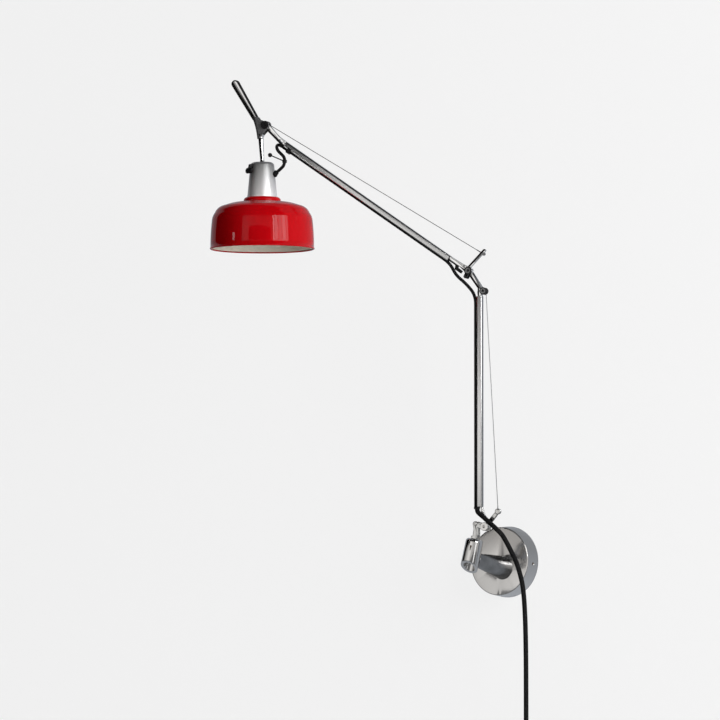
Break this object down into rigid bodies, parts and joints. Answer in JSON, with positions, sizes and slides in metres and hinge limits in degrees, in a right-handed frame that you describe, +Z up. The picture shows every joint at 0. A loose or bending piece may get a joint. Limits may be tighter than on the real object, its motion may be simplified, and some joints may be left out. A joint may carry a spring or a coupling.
{
  "type": "articulating wall lamp",
  "caption": "Balanced-arm wall lamp with a swivelling wall bracket, two sprung arm tubes, tilting shade head with handle, corded plug.",
  "frame": {"origin": "middle of the wall rose's back face, on the wall", "axes": "+Z up the wall, +Y into the wall, +X to the right along the wall; the lamp stands out towards -Y and its arm reaches towards -X"},
  "size_m": [0.5112, 0.2764, 1.1865],
  "materials": {
    "polished_steel": "mirror polished",
    "zinc_steel": "zinc plated",
    "spring_steel": "drawn wire",
    "satin_aluminium": "satin anodised",
    "black_plastic": "moulded",
    "black_bakelite": "moulded",
    "black_rubber": "matt",
    "dark_paint": "satin black lacquer",
    "red_lacquer": "gloss lacquer",
    "nickel_brass": "bright",
    "woven_cord": "woven textile sleeve"
  },
  "bodies": {
    "wall_base": {"wall_plate": "zinc_steel", "rose_cover": "polished_steel", "rose_set_screws": "zinc_steel", "bracket_neck": "polished_steel", "swivel_barrel": "polished_steel", "barrel_grub_screw": "zinc_steel", "swivel_bush": "black_plastic", "power_cord": "woven_cord", "cord_coil": "woven_cord", "coil_tie": "black_rubber", "plug_body": "black_rubber", "plug_pins": "nickel_brass"},
    "swivel": {"spigot_fork": "polished_steel", "spigot_retaining_screw": "zinc_steel", "fork_bolts": "polished_steel", "lower_lever": "polished_steel", "cord_lead": "woven_cord"},
    "lower_arm": {"lower_tube": "satin_aluminium", "lower_foot": "polished_steel", "lower_end_cap": "black_plastic", "lower_spring": "spring_steel", "elbow_bracket": "polished_steel", "elbow_bolts": "black_plastic", "lower_pulley_pin": "black_plastic", "upper_lever": "polished_steel", "cord_lower_run": "woven_cord", "cord_elbow_loop": "woven_cord"},
    "lower_pulley": {"lower_pulley": "black_plastic"},
    "lower_eye": {"lower_wire_eye": "spring_steel"},
    "lower_wire": {"lower_wire": "spring_steel"},
    "upper_arm": {"upper_tube": "satin_aluminium", "upper_foot": "polished_steel", "upper_end_cap": "black_plastic", "upper_spring": "spring_steel", "head_fitting": "polished_steel", "cord_upper_run": "woven_cord", "cord_saddle": "black_plastic"},
    "head_pulley": {"head_pulley": "black_plastic"},
    "upper_eye": {"upper_wire_eye": "spring_steel"},
    "upper_wire": {"upper_wire": "spring_steel"},
    "head": {"head_bracket": "dark_paint", "handle_core": "polished_steel", "handle_grip": "black_rubber", "head_rod": "polished_steel", "rod_pin": "black_plastic", "head_pivot_bolt": "black_plastic", "cord_stay": "black_plastic", "cord_head_loop": "woven_cord"},
    "lamp": {"lampholder_cap": "satin_aluminium", "lampholder_cup": "satin_aluminium", "socket_insulator": "black_bakelite", "socket_shell_and_contact": "nickel_brass", "cord_gland": "black_plastic", "shade": "red_lacquer", "shade_collar": "red_lacquer", "shade_nut": "black_bakelite", "cord_gland_run": "woven_cord"},
    "switch": {"switch_lever": "black_plastic"}
  },
  "joints": [
    {"name": "swivel_turn", "type": "hinge", "parent": "wall_base", "child": "swivel", "pos_m": [0, -0.104, 0.0054], "axis": [0.2136, 0.0588, 0.9751], "range_deg": [-15, 150], "deforming": ["power_cord"]},
    {"name": "lower_arm_tilt", "type": "hinge", "parent": "swivel", "child": "lower_arm", "pos_m": [0.02266, -0.09776, 0.0495], "axis": [0.2656, -0.9641, 0], "range_deg": [-28, 40], "deforming": ["cord_lead"]},
    {"name": "lower_pulley_turn", "type": "hinge", "parent": "lower_arm", "child": "lower_pulley", "pos_m": [0.02034, -0.0984, 0.4138], "axis": [0.2656, -0.9641, 0], "range_deg": [-400, 400]},
    {"name": "lower_wire_swing", "type": "hinge", "parent": "swivel", "child": "lower_eye", "pos_m": [0.04148, -0.09258, 0.07293], "axis": [0.2656, -0.9641, 0], "range_deg": [-33, 43]},
    {"name": "lower_wire_run", "type": "slide", "parent": "lower_eye", "child": "lower_wire", "axis": [-0.0545, -0.015, 0.9984], "range_m": [-0.014, 0.018], "deforming": ["lower_wire"]},
    {"name": "elbow_tilt", "type": "hinge", "parent": "lower_arm", "child": "upper_arm", "pos_m": [-0.00328, -0.1049, 0.4459], "axis": [0.2656, -0.9641, 0], "range_deg": [-35, 40], "deforming": ["cord_elbow_loop"]},
    {"name": "head_pulley_turn", "type": "hinge", "parent": "upper_arm", "child": "head_pulley", "pos_m": [-0.32365, -0.19315, 0.6816], "axis": [0.2656, -0.9641, 0], "range_deg": [-500, 500]},
    {"name": "upper_wire_swing", "type": "hinge", "parent": "lower_arm", "child": "upper_eye", "pos_m": [0.01941, -0.09865, 0.4714], "axis": [0.2656, -0.9641, 0], "range_deg": [-36, 41]},
    {"name": "upper_wire_run", "type": "slide", "parent": "upper_eye", "child": "upper_wire", "axis": [-0.8262, -0.2276, 0.5153], "range_m": [-0.021, 0.024], "deforming": ["upper_wire"]},
    {"name": "head_tilt", "type": "hinge", "parent": "upper_arm", "child": "head", "pos_m": [-0.32365, -0.19315, 0.6816], "axis": [0.2656, -0.9641, 0], "range_deg": [-60, 8], "deforming": ["cord_head_loop"]},
    {"name": "lamp_turn", "type": "hinge", "parent": "head", "child": "lamp", "pos_m": [-0.32972, -0.19482, 0.6178], "axis": [0, 0, 1], "range_deg": [-45, 45], "deforming": ["cord_gland_run"]},
    {"name": "switch_press", "type": "hinge", "parent": "lamp", "child": "switch", "pos_m": [-0.33472, -0.20682, 0.619], "axis": [0.9232, -0.3843, 0], "range_deg": [0, 6]}
  ],
  "couplings": [
    {"joint": "lower_pulley_turn", "follows": "lower_arm_tilt", "ratio": -8.19},
    {"joint": "lower_wire_swing", "follows": "lower_arm_tilt", "ratio": 1.056},
    {"joint": "lower_wire_run", "follows": "lower_arm_tilt", "m_per_rad": 0.0213},
    {"joint": "head_pulley_turn", "follows": "elbow_tilt", "ratio": -9.8},
    {"joint": "upper_wire_swing", "follows": "elbow_tilt", "ratio": 0.983},
    {"joint": "upper_wire_run", "follows": "elbow_tilt", "m_per_rad": 0.03136}
  ]
}
